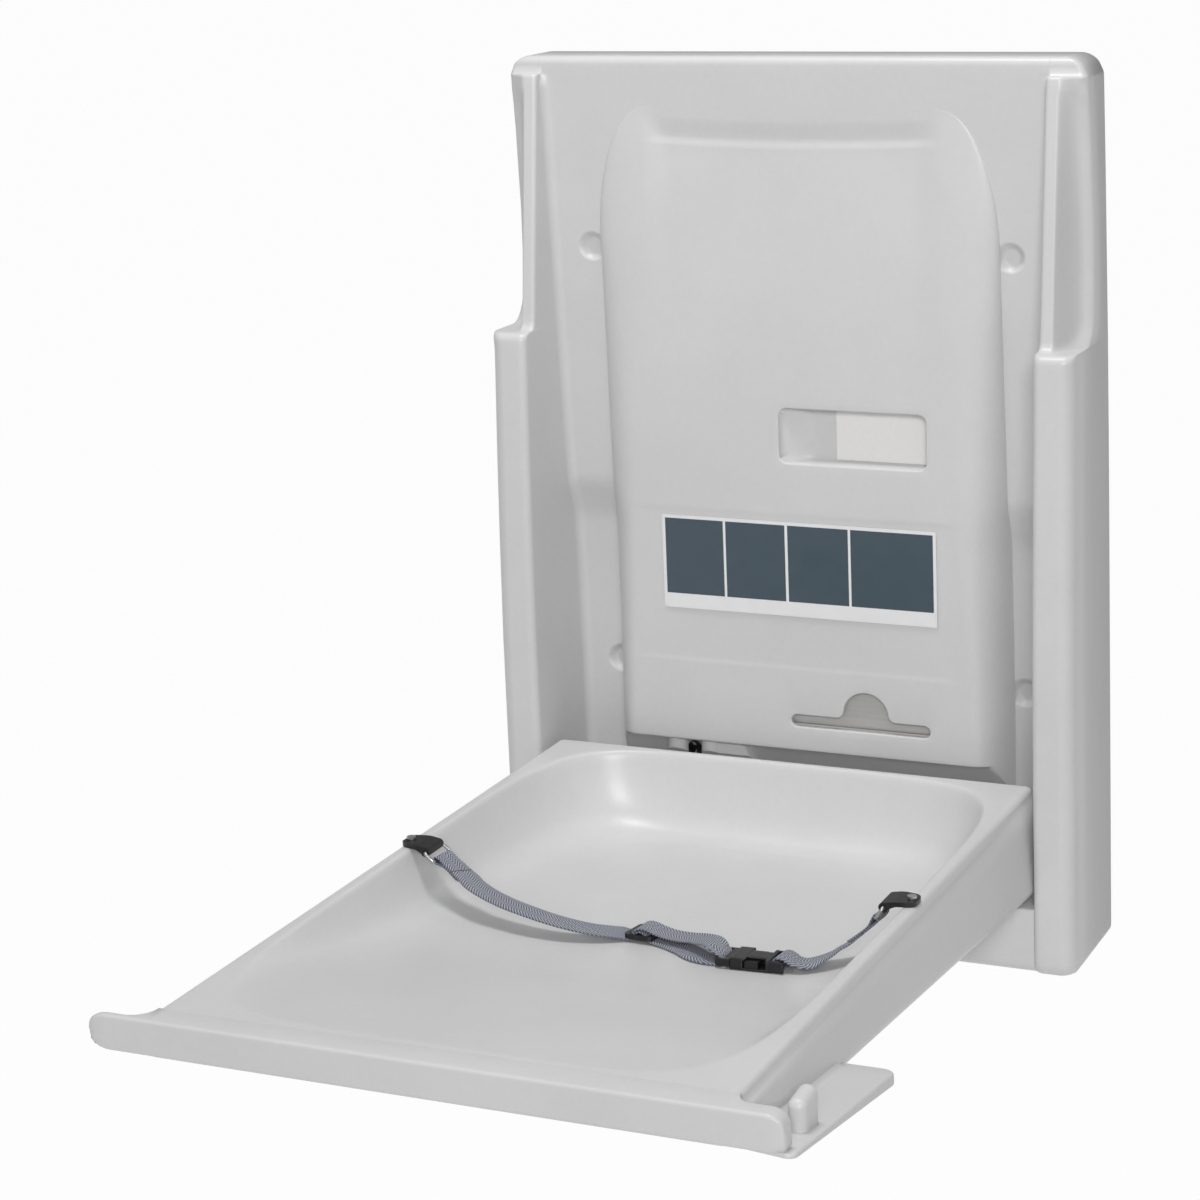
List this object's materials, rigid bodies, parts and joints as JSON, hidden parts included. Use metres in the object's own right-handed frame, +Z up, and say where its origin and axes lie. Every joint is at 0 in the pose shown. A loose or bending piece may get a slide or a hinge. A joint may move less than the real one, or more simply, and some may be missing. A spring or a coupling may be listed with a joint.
{
  "type": "baby changing station",
  "caption": "Vertical wall-mounted baby changing station with a fold-down moulded bed between two pillars, a liner housing, safety strap and damped hinge.",
  "frame": {"origin": "middle of the wall face of the back panel", "axes": "+X to the right of someone facing the station, +Y into the wall, +Z up"},
  "size_m": [0.566, 0.7992, 0.812],
  "materials": {
    "moulding": "fine-textured satin polyethylene",
    "back": "smooth moulded sheet",
    "steel": "bright drawn",
    "zinc": "zinc plated",
    "nylon": "moulded nylon",
    "rubber": "matt",
    "black": "moulded acetal",
    "paper": "paper",
    "label": "printed film, blank fields",
    "webbing": "herringbone woven"
  },
  "bodies": {
    "wall_unit": {"wall_shell": "moulding", "back_panel": "back", "back_screw_1": "zinc", "back_screw_2": "zinc", "back_screw_3": "zinc", "back_screw_4": "zinc", "back_screw_5": "zinc", "back_screw_6": "zinc", "liner_holder": "nylon", "liner_pack": "paper", "pocket_card": "paper", "label_plate": "label", "hinge_bush_right": "nylon", "hinge_bush_left": "nylon", "bed_stop_right": "rubber", "bed_stop_left": "rubber", "damper_bracket": "zinc", "damper_pin": "steel", "damper_cylinder": "black"},
    "damper_rod_body": {"damper_rod": "steel"},
    "bed": {"hinge_rod": "steel", "hinge_saddle_right": "nylon", "hinge_saddle_left": "nylon", "damper_lever": "zinc", "lever_pin": "steel", "bed_shell": "moulding", "bed_deck": "moulding", "strap_anchor_right": "black", "strap_anchor_left": "black", "anchor_screw_right": "zinc", "anchor_screw_left": "zinc", "webbing_left": "webbing", "webbing_loop_upper": "webbing", "webbing_loop_lower": "webbing", "webbing_right": "webbing", "strap_adjuster": "black", "buckle_female": "black", "buckle_male": "black"},
    "ring_left": {"strap_ring_left": "steel"},
    "ring_right": {"strap_ring_right": "steel"},
    "prong_rear": {"buckle_prong_rear": "black"},
    "prong_front": {"buckle_prong_front": "black"}
  },
  "joints": [
    {"name": "bed_fold", "type": "hinge", "parent": "wall_unit", "child": "bed", "pos_m": [0, -0.099, -0.317], "axis": [-1, 0, 0], "range_deg": [0, 85.5]},
    {"name": "damper_slide", "type": "slide", "parent": "wall_unit", "child": "damper_rod_body", "axis": [0, 0, -1], "range_m": [0, 0.041]},
    {"name": "ring_swing_left", "type": "hinge", "parent": "bed", "child": "ring_left", "pos_m": [-0.207, -0.398, -0.2389], "axis": [0, 1, 0], "range_deg": [-30, 45], "deforming": ["webbing_left"]},
    {"name": "ring_swing_right", "type": "hinge", "parent": "bed", "child": "ring_right", "pos_m": [0.207, -0.398, -0.2389], "axis": [0, -1, 0], "range_deg": [-45, 30], "deforming": ["webbing_right"]},
    {"name": "prong_rear_flex", "type": "hinge", "parent": "bed", "child": "prong_rear", "pos_m": [0.09309, -0.43933, -0.28198], "axis": [0, -0.0785, -0.9969], "range_deg": [0, 10], "stiffness_Nm_per_rad": 0.4},
    {"name": "prong_front_flex", "type": "hinge", "parent": "bed", "child": "prong_front", "pos_m": [0.09451, -0.45662, -0.28062], "axis": [0, 0.0785, 0.9969], "range_deg": [0, 10], "stiffness_Nm_per_rad": 0.4}
  ],
  "couplings": [
    {"joint": "damper_slide", "follows": "bed_fold", "m_per_rad": 0.027293},
    {"joint": "prong_front_flex", "follows": "prong_rear_flex", "ratio": 1}
  ]
}
